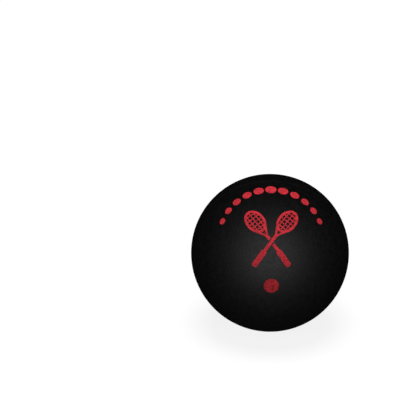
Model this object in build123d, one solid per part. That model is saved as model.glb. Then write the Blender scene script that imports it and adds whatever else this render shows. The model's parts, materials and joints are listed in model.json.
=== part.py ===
from build123d import *
import math
import os

# A hollow rubber squash ball: two moulded half-shells, the ring of rubber cement that
# joins their flat edges, and the ink marks printed on the front half-shell.
# Millimetres and degrees. The origin is the ball's centre and +Z is up. The poles of the
# half-shells lie on the Y axis, the front one on -Y, so the seam is in the XZ plane.

# Ball
BALL_DIAMETER = 42.4
WALL = 4.6

# Seam
CEMENT_FILM = 0.10
BEVEL_DEPTH = 0.15
CEMENT_RECESS = 0.05
BEAD_RADIUS = 0.45

# Ink, and how far the middle of the print lies above the front pole
INK_FILM = 0.05
PRINT_TILT = 37.0

# Horseshoe of dots, largest at the top, and the single dot below it
ARCH_ANGLE = 41.0
ARCH_DOTS = 11
ARCH_STEP = 13.5
ARCH_TOP_DOT = 3.0
ARCH_END_DOT = 1.8
SPEED_DOT_ANGLE = 35.5
SPEED_DOT = 4.0

# Crossed rackets, with places along a racket counted from where the shafts cross
RACKET_LEAN = 37.0
RACKET_DROP = 1.2
HEAD_CENTRE = 7.0
HEAD_LENGTH = 7.0
HEAD_WIDTH = 5.0
RIM_STROKE = 0.68
STRING_STROKE = 0.28
STRING_PITCH = 1.05
THROAT_FORK = 1.9
THROAT_STROKE = 0.52
SHAFT_WIDTH = 0.85
SHAFT_TAIL = 3.0
GRIP_LENGTH = 4.8
GRIP_WIDTH = 1.5
GRIP_CORNER = 0.4
CROSSING_GAP = 0.35

ball_radius = BALL_DIAMETER / 2
cavity_radius = ball_radius - WALL


# Half-shells and cement, as sections in the XY plane that turn about the Y axis


def wall_section():
    """The rubber wall all round, on the +X side of the axis."""
    beside_axis = Pos(ball_radius, 0) * Rectangle(BALL_DIAMETER, 2 * BALL_DIAMETER)
    return (Circle(ball_radius) - Circle(cavity_radius)) & beside_axis


def film_section():
    """The gap between the two flat edges, which the cement fills."""
    return Rectangle(2 * BALL_DIAMETER, CEMENT_FILM)


def bevel_section():
    """The 45 degree bevels on the outer corners of both edges, as one V open outwards."""
    bottom = ball_radius - BEVEL_DEPTH
    mouth = ball_radius + BEVEL_DEPTH
    half_bottom = CEMENT_FILM / 2
    half_mouth = half_bottom + mouth - bottom
    corners = [(bottom, half_bottom), (bottom, -half_bottom), (mouth, -half_mouth), (mouth, half_mouth)]
    return make_face(Polyline(*corners, close=True))


def half_shell(side):
    """A moulded half-shell with a flat, bevelled edge. side is -1 for the front, 1 for the rear."""
    half = Pos(0, side * BALL_DIAMETER / 2) * Rectangle(2 * BALL_DIAMETER, BALL_DIAMETER)
    section = (wall_section() & half) - film_section() - bevel_section()
    return revolve(section, Axis.Y)


def seam_cement():
    """The cured cement: a film between the edges, a fill in the bevels and a bead in the cavity."""
    film = wall_section() & film_section()
    joint = (film + bevel_section()) & Circle(ball_radius - CEMENT_RECESS)
    bead = Pos(cavity_radius, 0) * Circle(BEAD_RADIUS) & Circle(cavity_radius)
    return revolve(joint + bead, Axis.Y)


# Ink marks, each drawn flat on a plane through the ball's centre


def print_plane(angle=0.0, bearing=0.0):
    """The plane that faces a spot on the print.

    The angle is from the print's middle, and the bearing is clockwise from its top.
    """
    tilt = math.radians(PRINT_TILT)
    across = Vector(1, 0, 0)
    up = Vector(0, math.sin(tilt), math.cos(tilt))
    outward = Vector(0, -math.cos(tilt), math.sin(tilt))
    turn = math.radians(bearing)
    away = across * math.sin(turn) + up * math.cos(turn)
    facing = outward * math.cos(math.radians(angle)) + away * math.sin(math.radians(angle))
    return Plane(origin=(0, 0, 0), x_dir=across - facing * across.dot(facing), z_dir=facing)


def ink(mark, plane):
    """A flat mark carried straight out along the plane's normal onto the ball, one ink film thick."""
    carried = extrude(plane * mark, amount=BALL_DIAMETER)
    return (carried & Sphere(ball_radius + INK_FILM)) - Sphere(ball_radius)


def arch_dots():
    """The dots of the horseshoe, which shrink evenly from the top one to the two end ones."""
    ends = (ARCH_DOTS - 1) / 2
    dots = []
    for index in range(ARCH_DOTS):
        place = index - ends
        diameter = ARCH_TOP_DOT + (ARCH_END_DOT - ARCH_TOP_DOT) * abs(place) / ends
        dots += ink(Circle(diameter / 2), print_plane(ARCH_ANGLE, place * ARCH_STEP)).solids()
    return Compound(children=dots)


def speed_dot():
    """The single dot below the rackets, which tells the ball's speed class."""
    return ink(Circle(SPEED_DOT / 2), print_plane(SPEED_DOT_ANGLE, 180.0))


def stroke(start, end, width):
    """A straight stroke of ink from one point to another."""
    run = Vector(*end) - Vector(*start)
    middle = Vector(*start) + run * 0.5
    turn = math.degrees(math.atan2(run.Y, run.X))
    return Pos(middle.X, middle.Y) * Rot(0, 0, turn) * Rectangle(run.length, width)


def racket_strings():
    """A square grid of strings over the head's whole oblong, with one string each way through its middle."""
    half_width = HEAD_WIDTH / 2
    half_length = HEAD_LENGTH / 2
    upright_pairs = int(half_width / STRING_PITCH)
    level_pairs = int(half_length / STRING_PITCH)
    strings = Sketch()
    for index in range(-upright_pairs, upright_pairs + 1):
        x = index * STRING_PITCH
        strings += stroke((x, HEAD_CENTRE - half_length), (x, HEAD_CENTRE + half_length), STRING_STROKE)
    for index in range(-level_pairs, level_pairs + 1):
        y = HEAD_CENTRE + index * STRING_PITCH
        strings += stroke((-half_width, y), (half_width, y), STRING_STROKE)
    return strings


def racket_throat():
    """The two arms from the fork of the shaft, which run into the middle line of the rim as tangents."""
    half_width = (HEAD_WIDTH - RIM_STROKE) / 2
    half_length = (HEAD_LENGTH - RIM_STROKE) / 2
    drop = half_length ** 2 / (HEAD_CENTRE - THROAT_FORK)
    reach = half_width * math.sqrt(1 - (drop / half_length) ** 2)
    arms = Sketch()
    for side in (-1, 1):
        arms += stroke((0, THROAT_FORK), (side * reach, HEAD_CENTRE - drop), THROAT_STROKE)
    return arms


def racket():
    """A racket drawn upright, with the crossing point of its shaft at the origin."""
    outline = Pos(0, HEAD_CENTRE) * Ellipse(HEAD_WIDTH / 2, HEAD_LENGTH / 2)
    opening = Pos(0, HEAD_CENTRE) * Ellipse(HEAD_WIDTH / 2 - RIM_STROKE, HEAD_LENGTH / 2 - RIM_STROKE)
    shaft = stroke((0, -SHAFT_TAIL), (0, THROAT_FORK + SHAFT_WIDTH / 2), SHAFT_WIDTH)
    grip = Pos(0, -SHAFT_TAIL - GRIP_LENGTH / 2) * RectangleRounded(GRIP_WIDTH, GRIP_LENGTH, GRIP_CORNER)
    return (outline + racket_throat() - opening) + (racket_strings() & outline) + shaft + grip


def placed_racket(mark, side):
    """A racket's mark leaning to one side, at its place in the print."""
    return Pos(0, -RACKET_DROP) * Rot(0, 0, -side * RACKET_LEAN) * mark


def racket_over():
    """The racket that passes over, whole."""
    return ink(placed_racket(racket(), 1), print_plane())


def racket_under():
    """The racket that passes under, broken on both sides of the other one's shaft."""
    clear = stroke((0, -SHAFT_TAIL), (0, THROAT_FORK), SHAFT_WIDTH + 2 * CROSSING_GAP)
    return ink(placed_racket(racket(), -1) - placed_racket(clear, 1), print_plane())


def main():
    os.makedirs("parts", exist_ok=True)
    nodes = {
        "front_half_shell": half_shell(-1),
        "rear_half_shell": half_shell(1),
        "seam_cement": seam_cement(),
        "print_arch_dots": arch_dots(),
        "print_racket_over": racket_over(),
        "print_racket_under": racket_under(),
        "print_speed_dot": speed_dot(),
    }
    for name, shape in nodes.items():
        export_step(shape, f"parts/{name}.step")


main()
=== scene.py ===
import json
import math

import bmesh
import bpy
from mathutils import Matrix, Vector, noise
from mathutils.bvhtree import BVHTree
from mathutils.geometry import delaunay_2d_cdt
from mathutils.kdtree import KDTree

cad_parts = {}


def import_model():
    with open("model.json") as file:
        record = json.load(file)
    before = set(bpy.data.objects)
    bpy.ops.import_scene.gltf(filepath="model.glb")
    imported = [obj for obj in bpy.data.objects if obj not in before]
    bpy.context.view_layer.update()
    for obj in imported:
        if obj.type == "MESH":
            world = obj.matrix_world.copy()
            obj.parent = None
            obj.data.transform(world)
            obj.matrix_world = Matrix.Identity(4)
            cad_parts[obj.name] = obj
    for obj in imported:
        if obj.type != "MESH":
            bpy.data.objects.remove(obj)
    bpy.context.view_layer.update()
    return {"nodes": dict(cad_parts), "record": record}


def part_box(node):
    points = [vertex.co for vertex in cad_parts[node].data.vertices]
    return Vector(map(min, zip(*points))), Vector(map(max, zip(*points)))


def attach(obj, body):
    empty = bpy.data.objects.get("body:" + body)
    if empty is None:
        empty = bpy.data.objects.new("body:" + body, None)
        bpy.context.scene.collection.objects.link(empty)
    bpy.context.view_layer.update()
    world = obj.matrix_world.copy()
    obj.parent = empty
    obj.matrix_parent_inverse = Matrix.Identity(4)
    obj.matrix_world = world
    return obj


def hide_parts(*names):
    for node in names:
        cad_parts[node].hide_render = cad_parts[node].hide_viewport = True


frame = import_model()

# The looks of a hollow rubber squash ball: two grained half-shells, the ink printed on the front one and the
# cement in the seam between them. Metres and radians, in the frame of the solids: the origin is the ball's
# centre, +Z is up and the front pole is on -Y.

# Share by which two lengths may differ and still count as equal
NEARLY_EQUAL = 0.01


def node_points(node):
    """The corners of a solid's mesh."""
    return [vert.co for vert in frame["nodes"][node].data.vertices]


def flat_edge_radius():
    """The outer radius of a half-shell's flat edge, where its bevel starts."""
    points = node_points("front_half_shell")
    rearmost = max(point.y for point in points)
    edge = [point for point in points if math.isclose(point.y, rearmost, rel_tol=NEARLY_EQUAL)]
    return max(math.hypot(point.x, point.z) for point in edge)


# Sizes read from the frame
BALL_RADIUS = -frame["record"]["mounts"][0]["pos_m"][2]
SEAM_HALF_FILM = -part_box("front_half_shell")[1].y
CAVITY_RADIUS = min(point.length for point in node_points("front_half_shell"))
BEVEL_DEPTH = BALL_RADIUS - flat_edge_radius()
INK_FILM = max(point.length for point in node_points("print_speed_dot")) - BALL_RADIUS

# Relief of the buffed rubber, which fades out towards the seam
GRAIN_PITCH = 0.0009
GRAIN_HEIGHT = 0.000008
GRAIN_OCTAVES = 2
OCTAVE_FALL = 1.0
OCTAVE_STEP = 2.0
PIT_PITCH = 0.0016
PIT_DEPTH = 0.000014
PIT_LEVEL = 0.35
GRAIN_FADE = 0.0006

# Patterns of the finishes. A pitch is the size of a pattern's spots, and levels are greys of the pattern
MIDDLE_LEVELS = (0.3, 0.7)
MOTTLE_PITCH = 0.0011
MOTTLE_DETAIL = 3.0
FINE_GRAIN_PITCH = 0.00028
FINE_GRAIN_DETAIL = 2.0
FINE_GRAIN_DEPTH = 0.000034
INK_COVER_PITCH = 0.00024
INK_COVER_DETAIL = 3.0
INK_COVER_LEVELS = (0.36, 0.46, 0.6)
INK_COVER_DEPTH = 0.00002
INK_BLOTCH_PITCH = 0.0012
INK_BLOTCH_DETAIL = 2.0
INK_BLOTCH_LEVELS = (0.35, 0.6)
CEMENT_DETAIL = 2.0

# Colours and shine of the finishes
RUBBER_IOR = 1.52
RUBBER_SOOT = (0.0004, 0.0004, 0.0004)
RUBBER_BLOOM = (0.0014, 0.0014, 0.0014)
RUBBER_ROUGHNESS = (0.57, 0.67)
INK_VOID = (0.13, 0.007, 0.009)
INK_THIN = (0.39, 0.021, 0.03)
INK_FULL = (0.485, 0.026, 0.037)
INK_DULLED = (0.8, 0.8, 0.8)
INK_UNDULLED = (1.0, 1.0, 1.0)
INK_ROUGHNESS = (0.75, 0.88)
INK_SPECULAR = 0.15
CEMENT_DARK = (0.002, 0.002, 0.002)
CEMENT_PALE = (0.006, 0.0055, 0.005)
CEMENT_ROUGHNESS = (0.5, 0.62)

# Meshes
SHELL_CELLS = 260
INSIDE_RINGS = 14
INK_EDGE = 0.00016
INK_WELD = 0.000005
INK_ROOT = 0.00002
FLAT_TOLERANCE = 0.0000005
TRIANGLES_WITHIN_EDGES = 1
SHARP_ANGLE = math.radians(60.0)

# View. Pixels count from the top left corner of the 400 by 400 picture
PICTURE = 400
BALL_PIXEL = (269.98, 252.82)
BALL_PIXEL_RADIUS = 78.93
CAMERA_ELEVATION = math.radians(25.0)
CAMERA_DISTANCE = 1.0
CAMERA_CLIP = (0.05, 100.0)
SENSOR = 36.0

# Light. The drop is the angle from the lens down to the key lamp, seen from the ball
KEY_DROP = math.radians(2.0)
KEY_STRENGTH = 1.65
KEY_SOFTNESS = math.radians(68.0)
BACK_STRENGTH = 1.3
BACK_SOFTNESS = math.radians(2.0)
OVERHEAD = Vector((0.0, 0.0, 1.0))
TOP_STRENGTH = 4.05
TOP_SOFTNESS = math.radians(40.0)
ROOM_LEVEL = 0.003
WHITE = (1.0, 1.0, 1.0, 1.0)
FLOOR_COLOUR = (0.8, 0.8, 0.8, 1.0)
FLOOR_ROUGHNESS = 0.9
FLOOR_GLOW = 0.86
FLOOR_SIZE = 30.0


# Half-shells


def relief(direction):
    """Height of the rubber's surface over the true ball, for a unit vector from the centre."""
    spot = direction * BALL_RADIUS
    grain = noise.fractal(spot / GRAIN_PITCH, OCTAVE_FALL, OCTAVE_STEP, GRAIN_OCTAVES) * GRAIN_HEIGHT
    pit = max(0.0, noise.noise(spot / PIT_PITCH) - PIT_LEVEL) * PIT_DEPTH
    fade = min(1.0, max(0.0, abs(spot.y) - 2 * BEVEL_DEPTH) / GRAIN_FADE)
    return (grain - pit) * fade


def square_to_disc(a, b):
    """Polar place on a disc, as (share of its radius, angle), of a point in the square from -1 to 1."""
    reach = max(abs(a), abs(b))
    if reach == 0.0:
        return 0.0, 0.0
    if abs(a) >= abs(b):
        turn = math.pi / 4 * b / a
        return reach, turn if a > 0 else turn + math.pi
    turn = math.pi / 2 - math.pi / 4 * a / b
    return reach, turn if b > 0 else turn + math.pi


def off_pole(around, angle, side):
    """The unit vector at an angle from a half-shell's pole, towards a unit vector in the seam's plane."""
    return around * math.sin(angle) + Vector((0.0, side * math.cos(angle), 0.0))


def shell_outside(side):
    """The points and faces of a square grid bent over the half ball, whose last ring goes down the bevel."""
    rings = SHELL_CELLS // 2
    edge_radius = BALL_RADIUS - BEVEL_DEPTH
    last_angle = math.acos((SEAM_HALF_FILM + BEVEL_DEPTH) / BALL_RADIUS)
    wide = SHELL_CELLS + 1
    points = []
    for row in range(wide):
        for column in range(wide):
            share, turn = square_to_disc(row / rings - 1.0, column / rings - 1.0)
            ring = round(share * rings)
            around = Vector((math.cos(turn), 0.0, math.sin(turn)))
            if ring == rings:
                points.append(around * edge_radius + Vector((0.0, side * SEAM_HALF_FILM, 0.0)))
                continue
            angle = 2 * math.asin(ring / (rings - 1) * math.sin(last_angle / 2))
            direction = off_pole(around, angle, side)
            points.append(direction * (BALL_RADIUS + relief(direction)))
    faces = []
    for row in range(SHELL_CELLS):
        for column in range(SHELL_CELLS):
            first = row * wide + column
            faces.append((first, first + 1, first + wide + 1, first + wide))
    return points, faces


def grid_border():
    """The indices of the grid's outer points, in order all the way round."""
    last = SHELL_CELLS
    steps = range(last)
    places = [(step, 0) for step in steps] + [(last, step) for step in steps]
    places += [(last - step, last) for step in steps] + [(0, last - step) for step in steps]
    return [row * (last + 1) + column for row, column in places]


def add_shell_inside(points, faces, side):
    """Adds the flat edge and the plain inside, in rings from the bevel to the inside's pole."""
    outer = grid_border()
    start_angle = math.acos(SEAM_HALF_FILM / CAVITY_RADIUS)
    loop = outer
    for ring in range(INSIDE_RINGS):
        angle = start_angle * (1 - ring / INSIDE_RINGS)
        inner = []
        for index in outer:
            around = Vector((points[index].x, 0.0, points[index].z)).normalized()
            inner.append(len(points))
            points.append(off_pole(around, angle, side) * CAVITY_RADIUS)
        for here in range(len(outer)):
            there = (here + 1) % len(outer)
            faces.append((loop[here], loop[there], inner[there], inner[here]))
        loop = inner
    pole = len(points)
    points.append(Vector((0.0, side * CAVITY_RADIUS, 0.0)))
    for here in range(len(loop)):
        faces.append((loop[here], loop[(here + 1) % len(loop)], pole))


def shell_mesh(name, side):
    """A closed half-shell: grained outside, bevelled edge, flat land and plain inside. side is -1 or 1."""
    points, faces = shell_outside(side)
    add_shell_inside(points, faces, side)
    return finished_mesh(name, points, faces)


def finished_mesh(name, points, faces):
    """A mesh with its faces turned outwards and shaded smooth, except over sharp corners."""
    mesh = bpy.data.meshes.new(name)
    mesh.from_pydata(points, [], faces)
    work = bmesh.new()
    work.from_mesh(mesh)
    bmesh.ops.recalc_face_normals(work, faces=work.faces)
    for face in work.faces:
        face.smooth = True
    for edge in work.edges:
        edge.smooth = edge.calc_face_angle(0.0) < SHARP_ANGLE
    work.to_mesh(mesh)
    work.free()
    return mesh


# Ink. Each mark's outer face is laid flat, filled with even triangles and raised onto the rubber's relief


def outer_face(node):
    """The outer face of a mark's solid, as an open mesh."""
    work = bmesh.new()
    work.from_mesh(frame["nodes"][node].data)
    bmesh.ops.remove_doubles(work, verts=work.verts, dist=INK_WELD)
    below = [vert for vert in work.verts if vert.co.length < BALL_RADIUS + INK_FILM / 2]
    bmesh.ops.delete(work, geom=below, context="VERTS")
    return work


def flat_border(work, flatten):
    """The border of an open mesh laid flat: points at most INK_EDGE apart, and the edges between them."""
    points = []
    edges = []
    place = {}
    for edge in work.edges:
        if not edge.is_boundary:
            continue
        for vert in edge.verts:
            if vert not in place:
                place[vert] = len(points)
                points.append((flatten @ vert.co).to_2d())
        first, last = (place[vert] for vert in edge.verts)
        steps = math.ceil(edge.calc_length() / INK_EDGE)
        chain = [first]
        for step in range(1, steps):
            chain.append(len(points))
            points.append(points[first].lerp(points[last], step / steps))
        chain.append(last)
        edges += zip(chain[:-1], chain[1:])
    return points, edges


def staggered_spots(points):
    """Rows of spots INK_EDGE apart, each row shifted by half a step, over the box of some flat points."""
    low = Vector((min(point.x for point in points), min(point.y for point in points)))
    high = Vector((max(point.x for point in points), max(point.y for point in points)))
    row_step = INK_EDGE * math.sqrt(3) / 2
    for row in range(math.ceil((high.y - low.y) / row_step)):
        for column in range(math.ceil((high.x - low.x) / INK_EDGE)):
            yield low + Vector(((column + row % 2 / 2) * INK_EDGE, row * row_step))


def inner_spots(border, covered):
    """The spots that a mark covers, apart from those close to its border."""
    tree = KDTree(len(border))
    for index, point in enumerate(border):
        tree.insert(point.to_3d(), index)
    tree.balance()
    spots = []
    for spot in staggered_spots(border):
        distance = tree.find(spot.to_3d())[2]
        if distance > INK_EDGE / 2 and covered(spot):
            spots.append(spot)
    return spots


def ink_triangles(node):
    """Even triangles over a mark's outer face, as unit vectors from the ball's centre and corner triples."""
    face = outer_face(node)
    outward = sum((vert.co for vert in face.verts), Vector()).normalized()
    raised = outward.to_track_quat("Z", "Y").to_matrix()
    border, edges = flat_border(face, raised.transposed())
    cover = BVHTree.FromBMesh(face)
    face.free()

    def covered(spot):
        above = raised @ Vector((spot.x, spot.y, 2 * BALL_RADIUS))
        return cover.ray_cast(above, -outward)[0] is not None

    spots = border + inner_spots(border, covered)
    result = delaunay_2d_cdt(spots, edges, [], TRIANGLES_WITHIN_EDGES, FLAT_TOLERANCE)
    spots, triples = result[0], result[2]
    triangles = []
    for triple in triples:
        middle = sum((spots[index] for index in triple), Vector((0.0, 0.0))) / len(triple)
        if covered(middle):
            triangles.append(triple)
    directions = []
    for spot in spots:
        height = math.sqrt((BALL_RADIUS + INK_FILM) ** 2 - spot.length_squared)
        directions.append((raised @ Vector((spot.x, spot.y, height))).normalized())
    return directions, triangles


def ink_mesh(name, node):
    """The closed film of ink of a mark, which follows the rubber's relief and roots just below it."""
    directions, triangles = ink_triangles(node)
    count = len(directions)
    heights = [BALL_RADIUS + relief(direction) for direction in directions]
    points = [direction * (height + INK_FILM) for direction, height in zip(directions, heights)]
    points += [direction * (height - INK_ROOT) for direction, height in zip(directions, heights)]
    faces = []
    sides = {}
    for first, second, third in triangles:
        faces.append((first, second, third))
        faces.append((third + count, second + count, first + count))
        sides.update({(first, second): True, (second, third): True, (third, first): True})
    for first, second in sides:
        if (second, first) not in sides:
            faces.append((second, first, first + count, second + count))
    return finished_mesh(name, points, faces)


def add_piece(name, mesh, node, material):
    """A finished piece that stands for a solid and moves with the ball."""
    piece = bpy.data.objects.new(name, mesh)
    bpy.context.scene.collection.objects.link(piece)
    piece.data.materials.append(material)
    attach(piece, "root")
    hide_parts(node)


# Finishes


def new_material(name):
    """An empty node material, its node tree and its Principled shader."""
    material = bpy.data.materials.new(name)
    material.use_nodes = True
    shader = material.node_tree.nodes["Principled BSDF"]
    return material, material.node_tree, shader


def noise_node(tree, pitch, detail):
    """A noise texture in the object's own metres, with spots of about the given size."""
    place = tree.nodes.new("ShaderNodeTexCoord")
    texture = tree.nodes.new("ShaderNodeTexNoise")
    texture.inputs["Scale"].default_value = 1 / pitch
    texture.inputs["Detail"].default_value = detail
    tree.links.new(place.outputs["Object"], texture.inputs["Vector"])
    return texture


def ramp_node(tree, texture, levels, colours):
    """Colours along a texture's grey, one at each of its rising levels."""
    ramp = tree.nodes.new("ShaderNodeValToRGB")
    elements = ramp.color_ramp.elements
    while len(elements) < len(levels):
        elements.new(1.0)
    for element, level, colour in zip(elements, levels, colours):
        element.position = level
        element.color = (*colour, 1.0)
    tree.links.new(texture.outputs["Fac"], ramp.inputs["Fac"])
    return ramp


def range_node(tree, texture, limits):
    """A number that runs between two limits over the middle greys of a texture."""
    spread = tree.nodes.new("ShaderNodeMapRange")
    spread.inputs["From Min"].default_value = MIDDLE_LEVELS[0]
    spread.inputs["From Max"].default_value = MIDDLE_LEVELS[1]
    spread.inputs["To Min"].default_value = limits[0]
    spread.inputs["To Max"].default_value = limits[1]
    tree.links.new(texture.outputs["Fac"], spread.inputs["Value"])
    return spread


def bump_node(tree, texture, depth):
    """A bump as deep as the texture's whole range of grey."""
    bump = tree.nodes.new("ShaderNodeBump")
    bump.inputs["Distance"].default_value = depth
    tree.links.new(texture.outputs["Fac"], bump.inputs["Height"])
    return bump


def rubber_material():
    """Black rubber, buffed matt: sooty mottling, uneven sheen and a fine grain."""
    material, tree, shader = new_material("buffed_rubber")
    shader.inputs["IOR"].default_value = RUBBER_IOR
    mottle = noise_node(tree, MOTTLE_PITCH, MOTTLE_DETAIL)
    colour = ramp_node(tree, mottle, MIDDLE_LEVELS, (RUBBER_SOOT, RUBBER_BLOOM))
    tree.links.new(colour.outputs["Color"], shader.inputs["Base Color"])
    shine = range_node(tree, mottle, RUBBER_ROUGHNESS)
    tree.links.new(shine.outputs["Result"], shader.inputs["Roughness"])
    fine_grain = noise_node(tree, FINE_GRAIN_PITCH, FINE_GRAIN_DETAIL)
    bump = bump_node(tree, fine_grain, FINE_GRAIN_DEPTH)
    tree.links.new(bump.outputs["Normal"], shader.inputs["Normal"])
    return material


def ink_material():
    """Matt red ink, taken unevenly: thin on the grain, with voids, and duller in broad blotches."""
    material, tree, shader = new_material("red_ink")
    shader.inputs["Specular IOR Level"].default_value = INK_SPECULAR
    cover = noise_node(tree, INK_COVER_PITCH, INK_COVER_DETAIL)
    red = ramp_node(tree, cover, INK_COVER_LEVELS, (INK_VOID, INK_THIN, INK_FULL))
    patches = noise_node(tree, INK_BLOTCH_PITCH, INK_BLOTCH_DETAIL)
    blotch = ramp_node(tree, patches, INK_BLOTCH_LEVELS, (INK_DULLED, INK_UNDULLED))
    colour = tree.nodes.new("ShaderNodeMix")
    colour.data_type = "RGBA"
    colour.blend_type = "MULTIPLY"
    colour.inputs["Factor"].default_value = 1.0
    tree.links.new(red.outputs["Color"], colour.inputs["A"])
    tree.links.new(blotch.outputs["Color"], colour.inputs["B"])
    tree.links.new(colour.outputs["Result"], shader.inputs["Base Color"])
    shine = range_node(tree, cover, INK_ROUGHNESS)
    tree.links.new(shine.outputs["Result"], shader.inputs["Roughness"])
    bump = bump_node(tree, cover, INK_COVER_DEPTH)
    tree.links.new(bump.outputs["Normal"], shader.inputs["Normal"])
    return material


def cement_material():
    """Cured rubber cement in the seam: a little smoother than the buffed rubber."""
    material, tree, shader = new_material("cured_cement")
    mottle = noise_node(tree, MOTTLE_PITCH, CEMENT_DETAIL)
    colour = ramp_node(tree, mottle, MIDDLE_LEVELS, (CEMENT_DARK, CEMENT_PALE))
    tree.links.new(colour.outputs["Color"], shader.inputs["Base Color"])
    shine = range_node(tree, mottle, CEMENT_ROUGHNESS)
    tree.links.new(shine.outputs["Result"], shader.inputs["Roughness"])
    return material


# Stage


def floor_material():
    """Pale floor. To the camera most of its white is its own, so that the shadow on it stays faint."""
    material, tree, shader = new_material("pale_floor")
    shader.inputs["Base Color"].default_value = FLOOR_COLOUR
    shader.inputs["Roughness"].default_value = FLOOR_ROUGHNESS
    shader.inputs["Specular IOR Level"].default_value = 0.0
    path = tree.nodes.new("ShaderNodeLightPath")
    share = tree.nodes.new("ShaderNodeMath")
    share.operation = "MULTIPLY"
    share.inputs[1].default_value = FLOOR_GLOW
    tree.links.new(path.outputs["Is Camera Ray"], share.inputs[0])
    white = tree.nodes.new("ShaderNodeEmission")
    mix = tree.nodes.new("ShaderNodeMixShader")
    tree.links.new(share.outputs["Value"], mix.inputs["Fac"])
    tree.links.new(shader.outputs["BSDF"], mix.inputs[1])
    tree.links.new(white.outputs["Emission"], mix.inputs[2])
    tree.links.new(mix.outputs["Shader"], tree.nodes["Material Output"].inputs["Surface"])
    return material


def floor():
    """A wide floor under the ball, which neither lights the ball nor shows in its sheen."""
    half = FLOOR_SIZE / 2
    low = -BALL_RADIUS
    mesh = bpy.data.meshes.new("floor")
    corners = [(-half, -half, low), (half, -half, low), (half, half, low), (-half, half, low)]
    mesh.from_pydata(corners, [], [(0, 1, 2, 3)])
    mesh.materials.append(floor_material())
    plane = bpy.data.objects.new("floor", mesh)
    plane.visible_diffuse = False
    plane.visible_glossy = False
    plane.visible_shadow = False
    bpy.context.scene.collection.objects.link(plane)


def world():
    """White to the camera and through anything clear, and a dim room for the light and the sheen."""
    studio = bpy.data.worlds.new("studio")
    studio.use_nodes = True
    tree = studio.node_tree
    room = tree.nodes["Background"]
    room.inputs["Color"].default_value = WHITE
    room.inputs["Strength"].default_value = ROOM_LEVEL
    white = tree.nodes.new("ShaderNodeBackground")
    white.inputs["Color"].default_value = WHITE
    path = tree.nodes.new("ShaderNodeLightPath")
    seen = tree.nodes.new("ShaderNodeMath")
    seen.operation = "MAXIMUM"
    tree.links.new(path.outputs["Is Camera Ray"], seen.inputs[0])
    tree.links.new(path.outputs["Is Transmission Ray"], seen.inputs[1])
    mix = tree.nodes.new("ShaderNodeMixShader")
    tree.links.new(seen.outputs["Value"], mix.inputs["Fac"])
    tree.links.new(room.outputs["Background"], mix.inputs[1])
    tree.links.new(white.outputs["Background"], mix.inputs[2])
    tree.links.new(mix.outputs["Shader"], tree.nodes["World Output"].inputs["Surface"])
    bpy.context.scene.world = studio


def add_sun(name, direction, strength, softness):
    """A far lamp in a direction, which is a vector from the ball."""
    lamp = bpy.data.lights.new(name, "SUN")
    lamp.energy = strength
    lamp.angle = softness
    sun = bpy.data.objects.new(name, lamp)
    sun.rotation_euler = direction.to_track_quat("Z", "Y").to_euler()
    bpy.context.scene.collection.objects.link(sun)
    return sun


def lights(lens):
    """A wide soft lamp just under the lens, a small one that the ball hides from it, and one overhead.

    The lens is a place, and the lamp overhead stays out of the sheen.
    """
    add_sun("key", Matrix.Rotation(KEY_DROP, 3, "X") @ lens, KEY_STRENGTH, KEY_SOFTNESS)
    add_sun("back", -lens, BACK_STRENGTH, BACK_SOFTNESS)
    top = add_sun("top", OVERHEAD, TOP_STRENGTH, TOP_SOFTNESS)
    top.visible_glossy = False


def camera():
    """A camera that looks down at the ball and stands aside of it, so that the ball is at its pixels."""
    pixels_per_metre = BALL_PIXEL_RADIUS / BALL_RADIUS
    right = (PICTURE / 2 - BALL_PIXEL[0]) / pixels_per_metre
    up = (BALL_PIXEL[1] - PICTURE / 2) / pixels_per_metre
    data = bpy.data.cameras.new("camera")
    data.sensor_width = SENSOR
    data.lens = SENSOR * CAMERA_DISTANCE * pixels_per_metre / PICTURE
    data.clip_start, data.clip_end = CAMERA_CLIP
    view = bpy.data.objects.new("camera", data)
    turn = Matrix.Rotation(math.pi / 2 - CAMERA_ELEVATION, 4, "X")
    view.matrix_world = turn @ Matrix.Translation((right, up, CAMERA_DISTANCE))
    bpy.context.scene.collection.objects.link(view)
    bpy.context.scene.camera = view
    return view


# The ball and its stage

rubber = rubber_material()
ink = ink_material()
add_piece("front_shell", shell_mesh("front_shell", -1), "front_half_shell", rubber)
add_piece("rear_shell", shell_mesh("rear_shell", 1), "rear_half_shell", rubber)
for mark in ("arch_dots", "racket_over", "racket_under", "speed_dot"):
    add_piece(f"ink_{mark}", ink_mesh(f"ink_{mark}", f"print_{mark}"), f"print_{mark}", ink)
frame["nodes"]["seam_cement"].material_slots[0].material = cement_material()
floor()
world()
lens = camera().matrix_world.translation
lights(lens)
bpy.context.scene.view_settings.view_transform = "Standard"
